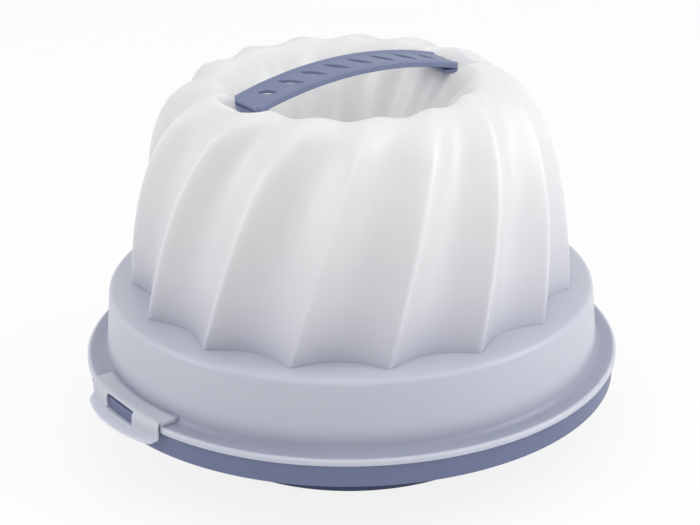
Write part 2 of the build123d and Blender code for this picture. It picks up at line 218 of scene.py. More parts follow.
along = dome.node("ShaderNodeSeparateXYZ", {}, {"Vector": spot}, "Y") + 0.5
whole = across * size["Flutes"]
even = whole.maths("FRACT", whole)
share = even - dome.maths("SINE", even * (2 * pi)) * (0.75 / (2 * pi))
bearing = (whole - even + share) / size["Flutes"] * (2 * pi) + size["Phase"]


def sheet(rows, x, y, z):
    """A grid round the hood with that many rows, whose points are put at x, y, z."""
    grid = dome.node(
        "GeometryNodeMeshGrid",
        {},
        {"Size X": 1.0, "Size Y": 1.0, "Vertices X": columns + 1, "Vertices Y": rows},
        "Mesh",
    )
    place = dome.node("ShaderNodeCombineXYZ", {}, {"X": x, "Y": y, "Z": z})
    return dome.node("GeometryNodeSetPosition", {}, {"Geometry": grid, "Position": place})


def hollow(sharpness):
    """How deep the flute is here, from 0 at its ridges to 1 in its middle."""
    rounding = size["Ridge rounding"]
    sharp = share * (1 - share) * 4
    sharp = ((sharp**2 + rounding**2) ** 0.5 - rounding) / ((rounding**2 + 1) ** 0.5 - rounding)
    smooth = dome.maths("SINE", share * pi) ** 2
    return sharp * sharpness + smooth * (1 - sharpness)


def pole(radius, depth, height, drop, twist, sharpness):
    """A pole of the curve that a rib follows, as its x, y and z."""
    hollowed = hollow(sharpness)
    reach = radius - depth * hollowed
    turned = bearing + twist
    return (
        reach * dome.maths("COSINE", turned),
        reach * dome.maths("SINE", turned),
        height - drop * hollowed,
    )


def bezier(poles):
    """The x, y and z of the point along a cubic curve with these poles."""
    back = 1 - along
    shares = (back**3, along * back**2 * 3, along**2 * back * 3, along**3)
    return [
        sum((share_of * place[axis] for share_of, place in zip(shares, poles)), 0)
        for axis in range(3)
    ]


slack = size["Inset"] * 0.55
top = size["Crest height"] - size["Inset"]
foot = pole(size["Foot radius"] - size["Inset"], size["Foot hollow"], size["Shelf height"], 0, 0, 1)
waist = pole(
    size["Foot radius"] - size["Lean"] - size["Inset"],
    size["Waist hollow"],
    size["Shelf height"] + size["Inset"] + size["Rise"] - slack,
    0,
    size["Wall twist"] / 3,
    size["Waist sharpness"],
)
brow = pole(
    size["Crest radius"] + size["Crest reach"] - slack,
    size["Brow hollow"],
    top,
    size["Crest drop"],
    size["Wall twist"] / 1.5,
    size["Brow sharpness"],
)
crest = pole(size["Crest radius"], 0, top, size["Crest drop"], size["Wall twist"], 0)
over = [
    at_crest + (at_crest - at_brow) * (size["Well reach"] / size["Crest reach"])
    for at_crest, at_brow in zip(crest, brow)
]
throat = pole(
    size["Well radius"] + size["Well taper"] + size["Inset"],
    size["Well hollow"] * -1,
    top - size["Well depth"] / 3,
    0,
    size["Wall twist"] + size["Well twist"] / 2,
    0,
)
drain = pole(
    size["Well radius"] + size["Inset"],
    size["Well hollow"] * -1,
    top - size["Well depth"],
    0,
    size["Wall twist"] + size["Well twist"],
    0,
)
section_row = dome.maths("ROUND", along * (size["Section points"] - 1))
section_point = dome.node(
    "GeometryNodeSampleIndex",
    {"data_type": "FLOAT_VECTOR", "domain": "POINT"},
    {"Geometry": size["Section"], "Value": spot, "Index": section_row},
)
section_x = dome.node("ShaderNodeSeparateXYZ", {}, {"Vector": section_point}, "X")
section_z = dome.node("ShaderNodeSeparateXYZ", {}, {"Vector": section_point}, "Z")
east = dome.maths("COSINE", bearing)
north = dome.maths("SINE", bearing)
skins = [
    sheet(size["Section points"], section_x * east, section_x * north, section_z),
    sheet(
        6,
        (size["Shelf edge"] * east) * (1 - along) + foot[0] * along,
        (size["Shelf edge"] * north) * (1 - along) + foot[1] * along,
        size["Shelf height"],
    ),
    sheet(size["Wall rows"], *bezier((foot, waist, brow, crest))),
    sheet(size["Well rows"], *bezier((crest, over, throat, drain))),
    sheet(4, drain[0] * (1 - along), drain[1] * (1 - along), drain[2]),
]
joined = dome_tree.nodes.new("GeometryNodeJoinGeometry")
for skin in skins:
    dome_tree.links.new(skin.socket, joined.inputs[0])
welded = dome.node(
    "GeometryNodeMergeByDistance",
    {},
    {"Geometry": Wire(dome_tree, joined.outputs[0]), "Distance": 0.000002},
)
real = dome.node("GeometryNodeRealizeInstances", {}, {"Geometry": welded})
coated = dome.node(
    "GeometryNodeSetMaterial", {}, {"Geometry": real, "Material": size["Material"]}
)
outlet = dome_tree.nodes.new("NodeGroupOutput")
dome_tree.links.new(coated.socket, outlet.inputs[0])


def dome_solid(name, section, shelf_height, edge, inset, finish):
    """The solid inside one skin of the hood, as a closed mesh."""
    maker = bpy.data.objects.new(name, section_mesh(name, section))
    bpy.context.scene.collection.objects.link(maker)
    modifier = maker.modifiers.new("dome", "NODES")
    modifier.node_group = dome_tree
    modifier[dome_keys["Section points"]] = len(section)
    modifier[dome_keys["Shelf height"]] = shelf_height
    modifier[dome_keys["Shelf edge"]] = edge
    modifier[dome_keys["Inset"]] = inset
    modifier[dome_keys["Material"]] = finish
    settle(maker)
    return maker


def settle(piece):
    """Turns a piece and its modifiers into a plain mesh."""
    made = bpy.data.meshes.new_from_object(
        piece.evaluated_get(bpy.context.evaluated_depsgraph_get())
    )
    piece.modifiers.clear()
    piece.data = made


def carve(piece, operation, tool):
    """Joins a closed tool to a piece, or cuts it away, and removes the tool."""
    modifier = piece.modifiers.new("carve", "BOOLEAN")
    modifier.operation = operation
    modifier.solver = "MANIFOLD"
    modifier.object = tool
    settle(piece)
    bpy.data.objects.remove(tool)


def block(name, plans, rounding, finish, lying=False):
    """A closed block through level plans, each (height, points). A lying one runs along Y."""
    mesh = bpy.data.meshes.new(name)
    shape = bmesh.new()
    rings = [[shape.verts.new((x, y, level)) for x, y in plan] for level, plan in plans]
    for ring, following in zip(rings, rings[1:]):
        for place in range(len(ring)):
            after = (place + 1) % len(ring)
            shape.faces.new((ring[place], ring[after], following[after], following[place]))
    shape.faces.new(rings[0][::-1])
    shape.faces.new(rings[-1])
    if rounding:
        bmesh.ops.bevel(
            shape, geom=shape.edges[:], offset=rounding, segments=3, profile=0.5, affect="EDGES"
        )
    if lying:
        for corner in shape.verts:
            corner.co = (corner.co.x, corner.co.z, corner.co.y)
    bmesh.ops.recalc_face_normals(shape, faces=shape.faces)
    shape.to_mesh(mesh)
    shape.free()
    mesh.materials.append(finish)
    made = bpy.data.objects.new(name, mesh)
    bpy.context.scene.collection.objects.link(made)
    return made


def smooth(piece, crease):
    """Shades a piece smooth, but for the edges that turn by more than crease degrees."""
    piece.data.polygons.foreach_set("use_smooth", [True] * len(piece.data.polygons))
    piece.data.set_sharp_from_angle(angle=radians(crease))


def arc(radius, half_y, side, steps=12):
    """Points on a circle about the carrier's axis, from -half_y to half_y, on one side of it."""
    half_turn = asin(half_y / radius)
    turns = [half_turn * (2 * step / steps - 1) for step in range(steps + 1)]
    return [(side * radius * cos(turn), radius * sin(turn)) for turn in turns]


def box_plan(low_x, high_x, half_y):
    """The corners of a rectangle that lies evenly across the X axis."""
    return [(low_x, -half_y), (high_x, -half_y), (high_x, half_y), (low_x, half_y)]


def rounded_plan(low_x, high_x, half_y, rounding, margin=0):
    """A rectangle with rounded corners, widened by a margin, as points."""
    low_x, high_x, half_y = low_x - margin, high_x + margin, half_y + margin
    corners = [
        (low_x, -half_y, rounding + margin),
        (high_x, -half_y, rounding + margin),
        (high_x, half_y, rounding + margin),
        (low_x, half_y, rounding + margin),
    ]
    return [tuple(point) for point in rounded(corners)]


milky = bpy.data.materials.new("milky_plastic")
milky.use_nodes = True
milky.node_tree.nodes.clear()
shade = Wire(milky.node_tree)
place = shade.node("ShaderNodeTexCoord", {}, {}, "Object")
height = shade.node("ShaderNodeSeparateXYZ", {}, {"Vector": place}, "Z")
cloud = shade.node("ShaderNodeTexNoise", {}, {"Vector": place, "Scale": 11.0, "Detail": 3.0}, 0)
fine = shade.node("ShaderNodeTexNoise", {}, {"Vector": place, "Scale": 60.0, "Detail": 4.0}, 0)
grain = shade.node("ShaderNodeTexNoise", {}, {"Vector": place, "Scale": 1400.0, "Detail": 2.0}, 0)
climb = shade.node(
    "ShaderNodeMapRange",
    {},
    {"Value": height + (cloud - 0.5) * 0.006, "From Min": 0.040, "From Max": 0.220},
    "Result",
)
flat_place = shade.node("ShaderNodeVectorMath", {"operation": "MULTIPLY"}, {0: place, 1: (1, 1, 0)})
radius = shade.node("ShaderNodeVectorMath", {"operation": "LENGTH"}, {0: flat_place}, "Value")
# Painted by height: the hood is darker and bluer low down and palest towards the crest. This is
# partly painted shade, where less light falls, and partly the tray's blue showing through the
# plastic.
painted_height_shade = shade.node(
    "ShaderNodeValToRGB",
    {
        "stops": [
            (0.000, (0.49, 0.50, 0.58)),
            (0.270, (0.52, 0.53, 0.61)),
            (0.450, (0.66, 0.66, 0.705)),
            (0.780, (0.81, 0.81, 0.825)),
        ]
    },
    {"Fac": climb},
)
# Painted shade and tint at the foot of the band: darker and bluer in the crease above the flange,
# where shade falls and the tray's blue curb, close behind, shows through.
band_foot_shade_share = shade.node(
    "ShaderNodeMapRange",
    {"interpolation_type": "SMOOTHSTEP"},
    {"Value": height, "From Min": 0.0500, "From Max": 0.0640, "To Min": 1.0, "To Max": 0.0},
    "Result",
)
beside = shade.node(
    "ShaderNodeMapRange",
    {"interpolation_type": "SMOOTHSTEP"},
    {"Value": radius, "From Min": 0.1520, "From Max": 0.1540, "To Min": 1.0, "To Max": 0.0},
    "Result",
)
curb_tint_and_crease_shade = shade.node(
    "ShaderNodeMix",
    {"data_type": "RGBA"},
    {"Factor": band_foot_shade_share * beside * 0.45, 6: painted_height_shade, 7: (0.15, 0.18, 0.29, 1.0)},
    2,
)
# Nothing blue is behind the hem's bead and the clip housings, so they stay pale.
bead_share = shade.node(
    "ShaderNodeMapRange",
    {"interpolation_type": "SMOOTHSTEP"},
    {"Value": radius, "From Min": 0.1528, "From Max": 0.1542},
    "Result",
)
above_flange = shade.node(
    "ShaderNodeMapRange", {}, {"Value": height, "From Min": 0.0506, "From Max": 0.0516}, "Result"
)
beyond_band = shade.node(
    "ShaderNodeMapRange", {}, {"Value": radius, "From Min": 0.1450, "From Max": 0.1460}, "Result"
)
hem_share = shade.node(
    "ShaderNodeMath", {"operation": "MAXIMUM"}, {0: bead_share, 1: above_flange * beyond_band}
)
wall_colour = shade.node(
    "ShaderNodeMix",
    {"data_type": "RGBA"},
    {"Factor": hem_share, 6: curb_tint_and_crease_shade, 7: (0.53, 0.55, 0.62, 1.0)},
    2,
)
# Light comes into the well through its wall from all round, so it is the palest part.
well_share = shade.node(
    "ShaderNodeMapRange",
    {"interpolation_type": "SMOOTHSTEP"},
    {"Value": radius, "From Min": 0.0530, "From Max": 0.0640, "To Min": 1.0, "To Max": 0.0},
    "Result",
)
hood_colour = shade.node(
    "ShaderNodeMix",
    {"data_type": "RGBA"},
    {"Factor": well_share, 6: wall_colour, 7: (0.95, 0.95, 0.95, 1.0)},
    2,
)
polish = shade.node(
    "ShaderNodeMapRange", {}, {"Value": fine, "To Min": 0.29, "To Max": 0.37}, "Result"
)
relief = shade.node(
    "ShaderNodeBump", {}, {"Strength": 0.05, "Distance": 0.0002, "Height": grain}
)
skin_shader = shade.node(
    "ShaderNodeBsdfPrincipled",
    {},
    {
        "Base Color": hood_colour,
        "Roughness": polish,
        "Normal": relief,
        "IOR": 1.5,
        "Subsurface Weight": 1.0,
        "Subsurface Radius": (1.0, 1.0, 1.05),
        "Subsurface Scale": 0.003,
    },
)
milky_end = milky.node_tree.nodes.new("ShaderNodeOutputMaterial")
milky.node_tree.links.new(skin_shader.socket, milky_end.inputs["Surface"])

outer_section = rounded(
    [
        (0, hem_z, 0),
        (hem_radius, hem_z, 0.0009),
        (hem_radius, flange_z, 0.0016),
        (band_radius, flange_z, 0.0040),
        (band_top_radius, shelf_z, 0.0030),
        (shelf_edge, shelf_z, 0),
    ]
)
inner_section = rounded(
    [
        (0, hem_z - 0.002, 0),
        (tray_rim_radius + hem_clearance, hem_z - 0.002, 0),
        (tray_rim_radius + hem_clearance, rim_z, 0.0003),
        (band_radius - hood_wall, rim_z, 0.0025),
        (band_top_radius - hood_wall, shelf_z - hood_wall, 0.0016),
        (shelf_edge - hood_wall, shelf_z - hood_wall, 0),
    ]
)
hood = dome_solid("fluted_hood", outer_section, shelf_z, shelf_edge, 0.0, milky)
inside = dome_solid(
    "inside", inner_section, shelf_z - hood_wall, shelf_edge - hood_wall, hood_wall, milky
)
# The handle stands in two flat seats on the crest, each with soft sloping sides, and a housing
# on each side leads to a clip.
seat_slope = (
    (0.0000, -0.0009),
    (0.0002, 0.0002),
    (0.0008, 0.0012),
    (0.0052, 0.0045),
    (0.0066, 0.0062),
    (0.0075, 0.0085),
    (0.0082, 0.0125),
    (0.0200, 0.0300),
)
for side in (1, -1):
    seat_plan = (*sorted((side * seat_inner, side * seat_outer)), seat_half_width, seat_corner)
    seat = [(seat_z + rise, rounded_plan(*seat_plan, spread)) for rise, spread in seat_slope]
    seat_wall = [
        (seat_z + rise - hood_wall, rounded_plan(*seat_plan, spread + hood_wall))
        for rise, spread in seat_slope
    ]
    carve(hood, "DIFFERENCE", block("seat", seat, 0, milky))
    carve(inside, "DIFFERENCE", block("seat", seat_wall, 0, milky))
    root = arc(band_radius - hood_wall / 2, clip_half, side)
    housing = root + [(side * housing_reach, clip_half), (side * housing_reach, -clip_half)]
    housing_plans = [(rim_z + 0.0001, housing), (clip_top_z, housing)]
    carve(hood, "UNION", block("housing", housing_plans, 0.0007, milky))
    half_inner = clip_half - hood_wall
    hollow_plan = arc(band_radius, half_inner, side)
    hollow_plan += [(side * hollow_reach, half_inner), (side * hollow_reach, -half_inner)]
    hollow_plans = [(hollow_low_z, hollow_plan), (clip_top_z - clip_wall, hollow_plan)]
    carve(inside, "UNION", block("hollow", hollow_plans, 0, milky))
carve(hood, "DIFFERENCE", inside)
for side in (1, -1):
    low_x, high_x = sorted((side * (hinge_reach - film_gap), side * cut_reach))
    notch = box_plan(low_x, high_x, notch_half)
    notch_plans = [(cut_low_z, notch), (cut_high_z, notch)]
    carve(hood, "DIFFERENCE", block("notch", notch_plans, 0, milky))
    slot_middle = side * tongue_middle
    slot = rounded_plan(
        slot_middle - tongue_slot_half, slot_middle + tongue_slot_half, 0.0065, 0.0005
    )
    slot_plans = [(seat_z - 0.0030, slot), (seat_z + 0.0015, slot)]
    carve(hood, "DIFFERENCE", block("slot", slot_plans, 0, milky))
smooth(hood, 32)
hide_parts("hood")
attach(hood, "hood")

# ---------------------------------------------------------------- the snap clips
# Two flaps moulded with the hood. Each runs out level from its housing, turns down outside
# the rim and ends in a bowed finger lip. A window shows the tray's lug, which the bar under
# it catches, and a thin film along the score line is the hinge.
clip_radius = 0.1573
clip_steps = 48
score_strip = 0.0010
sill_z = 0.0442
lip_reach = 0.1640
lip_bend = 0.08607
lip_drop = 0.0020
lip_straight_half = 0.0320
lip_corner = 0.0035
window_inner = 0.1548
window_half = 0.0145
lug_room_inner = 0.1526
lug_room_outer = 0.1560
lug_room_half = 0.0146
film_half = 0.0007
film_depth = 0.0002
film_rise = 0.00004


def clip_section():
    """The clip's outline as (radius, height), and how far along the lip each point is."""
    corners = [
        (hinge_reach + film_gap + 0.0003, clip_top_z - clip_wall, 0),
        (hinge_reach + film_gap, clip_top_z - 0.0002, 0),
        (hinge_reach + film_gap, clip_top_z, 0),
        (clip_radius, clip_top_z, 0.0040),
        (clip_radius, sill_z, 0.0022),
        (lip_reach, sill_z - lip_drop, 0.0006),
        (lip_reach, sill_z - 0.0035, 0.0006),
        (clip_radius - clip_wall, sill_z - 0.0015, 0.0020),
        (clip_radius - clip_wall, clip_top_z - clip_wall, 0.0024),
    ]
    points = rounded(corners, 6)
    lip = lip_reach - clip_radius
    return [(x, z, min(1.0, max(0.0, (x - clip_radius) / lip))) for x, z in points]


def clip_mesh(side, finish):
    """One clip, its outline carried along Y round the hood's axis."""
    shape = bmesh.new()
    outline = clip_section()
    rings = []
    for step in range(clip_steps + 1):
        y = clip_half * (2 * step / clip_steps - 1)
        corner = max(0.0, (abs(y) - lip_straight_half) / lip_corner)
        lip_share = sqrt(max(0.0, 1 - corner**2))
        tip = lip_reach - lip_bend + sqrt(lip_bend**2 - y**2)
        ring = []
        for radius, z, reach in outline:
            if radius < hinge_reach + score_strip:
                x = radius
            else:
                x = sqrt(min(radius, clip_radius) ** 2 - y**2)
                x = max(x, hinge_reach + score_strip)
            if reach:
                x += (tip - x) * reach * lip_share
                z += lip_drop * reach * (1 - lip_share)
            ring.append(shape.verts.new((side * x, side * y, z)))
        rings.append(ring)
    count = len(outline)
    for ring, following in zip(rings, rings[1:]):
        for place in range(count):
            after = (place + 1) % count
            shape.faces.new((ring[place], ring[after], following[after], following[place]))
    shape.faces.new(rings[0][::-1])
    shape.faces.new(rings[-1])
    bmesh.ops.recalc_face_normals(shape, faces=shape.faces)
    mesh = bpy.data.meshes.new("clip")
    shape.to_mesh(mesh)
    shape.free()
    mesh.materials.append(finish)
    return mesh


pale = milky.copy()
pale.name = "clip_plastic"
for node in pale.node_tree.nodes:
    if node.type == "VALTORGB":
        for stop in node.color_ramp.elements:
            stop.color = (0.55, 0.57, 0.65, 1.0)

# The film is too thin for light to spread inside it.
thin = pale.copy()
thin.name = "film_plastic"
for node in thin.node_tree.nodes:
    if node.type == "BSDF_PRINCIPLED":
        node.inputs["Subsurface Weight"].default_value = 0.0

for side, word in ((1, "right"), (-1, "left")):
    clip = bpy.data.objects.new(word + "_snap_clip", clip_mesh(side, pale))
    bpy.context.scene.collection.objects.link(clip)
    window = box_plan(*sorted((side * window_inner, side * cut_reach)), window_half)
    window_plans = [(sill_z, window), (cut_high_z, window)]
    carve(clip, "DIFFERENCE", block("window", window_plans, 0.0004, pale))
    # The clip's rounded inner corner stops short of the lug, so that the clip can be pressed in.
    room = box_plan(*sorted((side * lug_room_inner, side * lug_room_outer)), lug_room_half)
    room_plans = [(sill_z + 0.0010, room), (clip_top_z - clip_wall + 0.0001, room)]
    carve(clip, "DIFFERENCE", block("lug_room", room_plans, 0, pale))
    smooth(clip, 35)
    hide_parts(word + "_clip")
    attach(clip, word + "_clip")

    low_x, high_x = sorted((side * (hinge_reach - film_half), side * (hinge_reach + film_half)))
    film_plan = [(low_x, -clip_half), (side * hinge_reach, -clip_half), (high_x, -clip_half)]
    film_plan += [(x, -y) for x, y in reversed(film_plan)]
    film_plans = [(clip_top_z - film_depth, film_plan), (clip_top_z + film_rise, film_plan)]
    film = block(word + "_film", film_plans, 0, thin)
    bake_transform(film)

# ---------------------------------------------------------------- the handle
# A blue moulded channel, bent to a low arch. Its grip lies between two rolled rims and is
# pierced by slanting slots that taper to a point. A solid foot under each end stands in a
# seat of the hood, and a barbed tongue below it snaps through the seat's floor.
handle_top = 0.2192
handle_end = 0.0710
handle_half_width = 0.0132
handle_steps = 96
handle_bend = 0.2386
end_bend = 0.02378
rim_inner = 0.0114
rim_drop = -0.0040
grip_half_width = 0.0106
grip_drop = -0.0009
grip_under = -0.0027
pad_inner = 0.0595
pad_top_z = 0.2058
pad_step = 0.00212
pad_steps = 6
tongue_inner = 0.0655
tongue_outer = 0.0685
tongue_half_width = 0.0060
barb_reach = 0.0010
barb_top_z = seat_z - 0.0018
tongue_low_z = seat_z - 0.0043

blue = bpy.data.materials.new("blue_plastic")
blue.use_nodes = True
blue.node_tree.nodes.clear()
tint = Wire(blue.node_tree)
place = tint.node("ShaderNodeTexCoord", {}, {}, "Object")
cloud = tint.node("ShaderNodeTexNoise", {}, {"Vector": place, "Scale": 14.0, "Detail": 3.0}, 0)
fine = tint.node("ShaderNodeTexNoise", {}, {"Vector": place, "Scale": 90.0, "Detail": 4.0}, 0)
grain = tint.node("ShaderNodeTexNoise", {}, {"Vector": place, "Scale": 1600.0, "Detail": 2.0}, 0)
# The handle is a moulding of its own, a little paler than the tray. The colour goes by height, so
# the low tray is also darker as painted shade, for standing under the hood.
rise = tint.node("ShaderNodeSeparateXYZ", {}, {"Vector": place}, "Z")
tone_and_shade_by_height = tint.node(
    "ShaderNodeMapRange", {}, {"Value": rise, "From Min": 0.060, "From Max": 0.200}, "Result"
)
blue_colour = tint.node(
    "ShaderNodeValToRGB",
    {"stops": [(0.00, (0.122, 0.147, 0.262)), (1.00, (0.180, 0.210, 0.340))]},
    {"Fac": tone_and_shade_by_height * 0.8 + cloud * 0.2},
)
blue_polish = tint.node(
    "ShaderNodeMapRange", {}, {"Value": fine, "To Min": 0.34, "To Max": 0.44}, "Result"
)
blue_relief = tint.node(
    "ShaderNodeBump", {}, {"Strength": 0.10, "Distance": 0.0002, "Height": grain}
)
blue_shader = tint.node(
    "ShaderNodeBsdfPrincipled",
    {},
    {"Base Color": blue_colour, "Roughness": blue_polish, "Normal": blue_relief, "IOR": 1.5},
)
blue_end = blue.node_tree.nodes.new("ShaderNodeOutputMaterial")
blue.node_tree.links.new(blue_shader.socket, blue_end.inputs["Surface"])


def arch(x, drop):
    """The height of a point of the handle, by its x and its drop below the arch's top line."""
    return handle_top - handle_bend + sqrt(handle_bend**2 - x**2) + drop


def bow(y):
    """How far out the handle's rounded end is at this y."""
    return handle_end - end_bend + sqrt(end_bend**2 - y**2)


channel = rounded(
    [
        (-handle_half_width, rim_drop, 0.0005),
        (-handle_half_width, 0, 0.0011),
        (-rim_inner, 0, 0.0006),
        (-grip_half_width, grip_drop, 0.0008),
        (grip_half_width, grip_drop, 0.0008),
        (rim_inner, 0, 0.0006),
        (handle_half_width, 0, 0.0011),
        (handle_half_width, rim_drop, 0.0005),
        (rim_inner, rim_drop, 0.0005),
        (rim_inner, grip_under, 0.0008),
        (-rim_inner, grip_under, 0.0008),
        (-rim_inner, rim_drop, 0.0005),
    ]
)
shape = bmesh.new()
rings = []
for step in range(handle_steps + 1):
    ring = []
    for y, drop in channel:
        x = (2 * step / handle_steps - 1) * bow(y)
        ring.append(shape.verts.new((x, y, arch(x, drop))))
    rings.append(ring)
for ring, following in zip(rings, rings[1:]):
    for place in range(len(channel)):
        after = (place + 1) % len(channel)
        shape.faces.new((ring[place], ring[after], following[after], following[place]))
shape.faces.new(rings[0][::-1])
shape.faces.new(rings[-1])
bmesh.ops.recalc_face_normals(shape, faces=shape.faces)
handle_mesh = bpy.data.meshes.new("handle")
shape.to_mesh(handle_mesh)
shape.free()
handle_mesh.materials.append(blue)
handle = bpy.data.objects.new("arched_handle", handle_mesh)
bpy.context.scene.collection.objects.link(handle)

slot_tree = bpy.data.node_groups.new("grip_slots", "GeometryNodeTree")
slot_inputs = {
    "Geometry": ("NodeSocketGeometry", None),
    "Slots": ("NodeSocketInt", 8),
    "Pitch": ("NodeSocketFloat", 0.0154),
    "Length": ("NodeSocketFloat", 0.0180),
    "Width": ("NodeSocketFloat", 0.0046),
    "End shortening": ("NodeSocketFloat", 0.28),
    "Slant": ("NodeSocketFloat", radians(30)),
    "Floor": ("NodeSocketFloat", 0.2000),
    "Tall": ("NodeSocketFloat", 0.0250),
    "Material": ("NodeSocketMaterial", None),
}
slot_keys = {}
for name, (kind, value) in slot_inputs.items():
    socket = slot_tree.interface.new_socket(name, in_out="INPUT", socket_type=kind)
    slot_keys[name] = socket.identifier
    if value is not None:
        socket.default_value = value
slot_tree.interface.new_socket("Mesh", in_out="OUTPUT", socket_type="NodeSocketGeometry")
cutter = Wire(slot_tree)
size = {name: cutter.node("NodeGroupInput", {}, {}, name) for name in slot_inputs}
spot = cutter.node("GeometryNodeInputPosition", {}, {})
spot_x = cutter.node("ShaderNodeSeparateXYZ", {}, {"Vector": spot}, "X")
spot_y = cutter.node("ShaderNodeSeparateXYZ", {}, {"Vector": spot}, "Y")
circle = cutter.node(
    "GeometryNodeMeshCircle", {"fill_type": "NGON"}, {"Vertices": 28, "Radius": 1.0}
)
pointed = cutter.node(
    "ShaderNodeCombineXYZ",
    {},
    {
        "X": spot_y * cutter.maths("ABSOLUTE", spot_y) * size["Width"] * 0.5,
        "Y": spot_x * size["Length"] * -0.5,
        "Z": size["Floor"],
    },
)
lens_face = cutter.node("GeometryNodeSetPosition", {}, {"Geometry": circle, "Position": pointed})
lifted = cutter.node(
    "GeometryNodeExtrudeMesh",
    {"mode": "FACES"},
    {"Mesh": lens_face, "Offset Scale": size["Tall"]},
)
turned_face = cutter.node("GeometryNodeFlipFaces", {}, {"Mesh": lens_face})
joined = slot_tree.nodes.new("GeometryNodeJoinGeometry")
slot_tree.links.new(lifted.socket, joined.inputs[0])
slot_tree.links.new(turned_face.socket, joined.inputs[0])
prism = cutter.node(
    "GeometryNodeMergeByDistance",
    {},
    {"Geometry": Wire(slot_tree, joined.outputs[0]), "Distance": 0.000005},
)
middle = (size["Slots"] - 1) * 0.5
line = cutter.node(
    "GeometryNodeMeshLine",
    {},
    {
        "Count": size["Slots"],
        "Start Location": cutter.node(
            "ShaderNodeCombineXYZ", {}, {"X": middle * size["Pitch"] * -1}
        ),
        "Offset": cutter.node("ShaderNodeCombineXYZ", {}, {"X": size["Pitch"]}),
    },
)
number = cutter.node("GeometryNodeInputIndex", {}, {})
at_end = cutter.maths("GREATER_THAN", cutter.maths("ABSOLUTE", number - middle), middle - 0.5)
placed = cutter.node(
    "GeometryNodeInstanceOnPoints",
    {},
    {
        "Points": line,
        "Instance": prism,
        "Rotation": cutter.node("ShaderNodeCombineXYZ", {}, {"Z": size["Slant"]}),
        "Scale": cutter.node(
            "ShaderNodeCombineXYZ",
            {},
            {"X": 1.0, "Y": 1 - at_end * size["End shortening"], "Z": 1.0},
        ),
    },
)
real = cutter.node("GeometryNodeRealizeInstances", {}, {"Geometry": placed})
coated = cutter.node(
    "GeometryNodeSetMaterial", {}, {"Geometry": real, "Material": size["Material"]}
)
outlet = slot_tree.nodes.new("NodeGroupOutput")
slot_tree.links.new(coated.socket, outlet.inputs[0])

slots = bpy.data.objects.new("grip_slots", bpy.data.meshes.new("grip_slots"))
bpy.context.scene.collection.objects.link(slots)
modifier = slots.modifiers.new("slots", "NODES")
modifier.node_group = slot_tree
modifier[slot_keys["Material"]] = blue
settle(slots)
for side in (1, -1):
    end_ys = [step * pad_step for step in range(-pad_steps, pad_steps + 1)]
    pad = [(side * (bow(y) - 0.0001), y) for y in end_ys]
    pad += [(side * pad_inner, rim_inner), (side * pad_inner, -rim_inner)]
    carve(handle, "UNION", block("pad", [(seat_z, pad), (pad_top_z, pad)], 0.0003, blue))
    inner, outer = side * tongue_inner, side * tongue_outer
    tongue = [
        (inner, seat_z + 0.0010),
        (outer, seat_z + 0.0010),
        (outer, barb_top_z),
        (outer + side * barb_reach, barb_top_z),
        (outer, tongue_low_z),
        (inner, tongue_low_z),
    ]
    tongue_plans = [(-tongue_half_width, tongue), (tongue_half_width, tongue)]
    carve(handle, "UNION", block("tongue", tongue_plans, 0, blue, lying=True))
carve(handle, "DIFFERENCE", slots)
smooth(handle, 35)
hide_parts("handle")
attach(handle, "hood")

# ---------------------------------------------------------------- the tray
# One blue moulding turned about its axis: a flat deck with a low curb that centres the hood,
# a rim wall that hangs down outside, and a hollow foot ring. Two lugs stand on the rim for
# the clips to catch on.
deck_z = 0.0445
wall_low_z = 0.0334
tray_wall = 0.0020
rim_inner_radius = 0.1510
curb_radius = 0.1413
curb_inner_radius = 0.1393
curb_height = 0.0070
foot_top_radius = 0.1080
foot_top_inner_radius = 0.1060
foot_radius = 0.0973
foot_inner_radius = 0.0953
lug_reach = 0.1554
lug_root = 0.1512
lug_half = 0.0140
lug_low_z = 0.0444
lug_top_z = 0.0508

turned_tree = bpy.data.node_groups.new("turned_piece", "GeometryNodeTree")
turned_inputs = {
    "Section": ("NodeSocketGeometry", None),
    "Section points": ("NodeSocketInt", 2),
    "Columns": ("NodeSocketInt", 288),
    "Material": ("NodeSocketMaterial", None),
}
turned_keys = {}
for name, (kind, value) in turned_inputs.items():
    socket = turned_tree.interface.new_socket(name, in_out="INPUT", socket_type=kind)
    turned_keys[name] = socket.identifier
    if value is not None:
        socket.default_value = value
turned_tree.interface.new_socket("Mesh", in_out="OUTPUT", socket_type="NodeSocketGeometry")
lathe = Wire(turned_tree)
size = {name: lathe.node("NodeGroupInput", {}, {}, name) for name in turned_inputs}
spot = lathe.node("GeometryNodeInputPosition", {}, {})
bearing = (lathe.node("ShaderNodeSeparateXYZ", {}, {"Vector": spot}, "X") + 0.5) * (2 * pi)
along = lathe.node("ShaderNodeSeparateXYZ", {}, {"Vector": spot}, "Y") + 0.5
row = lathe.maths("ROUND", along * (size["Section points"] - 1))
section_point = lathe.node(
    "GeometryNodeSampleIndex",
    {"data_type": "FLOAT_VECTOR", "domain": "POINT"},
    {"Geometry": size["Section"], "Value": spot, "Index": row},
)
reach = lathe.node("ShaderNodeSeparateXYZ", {}, {"Vector": section_point}, "X")
level = lathe.node("ShaderNodeSeparateXYZ", {}, {"Vector": section_point}, "Z")
grid = lathe.node(
    "GeometryNodeMeshGrid",
    {},
    {
        "Size X": 1.0,
        "Size Y": 1.0,
        "Vertices X": size["Columns"] + 1,
        "Vertices Y": size["Section points"],
    },
)
turned_place = lathe.node(
    "ShaderNodeCombineXYZ",
    {},
    {
        "X": reach * lathe.maths("COSINE", bearing),
        "Y": reach * lathe.maths("SINE", bearing),
        "Z": level,
    },
)
turned_grid = lathe.node(
    "GeometryNodeSetPosition", {}, {"Geometry": grid, "Position": turned_place}
)
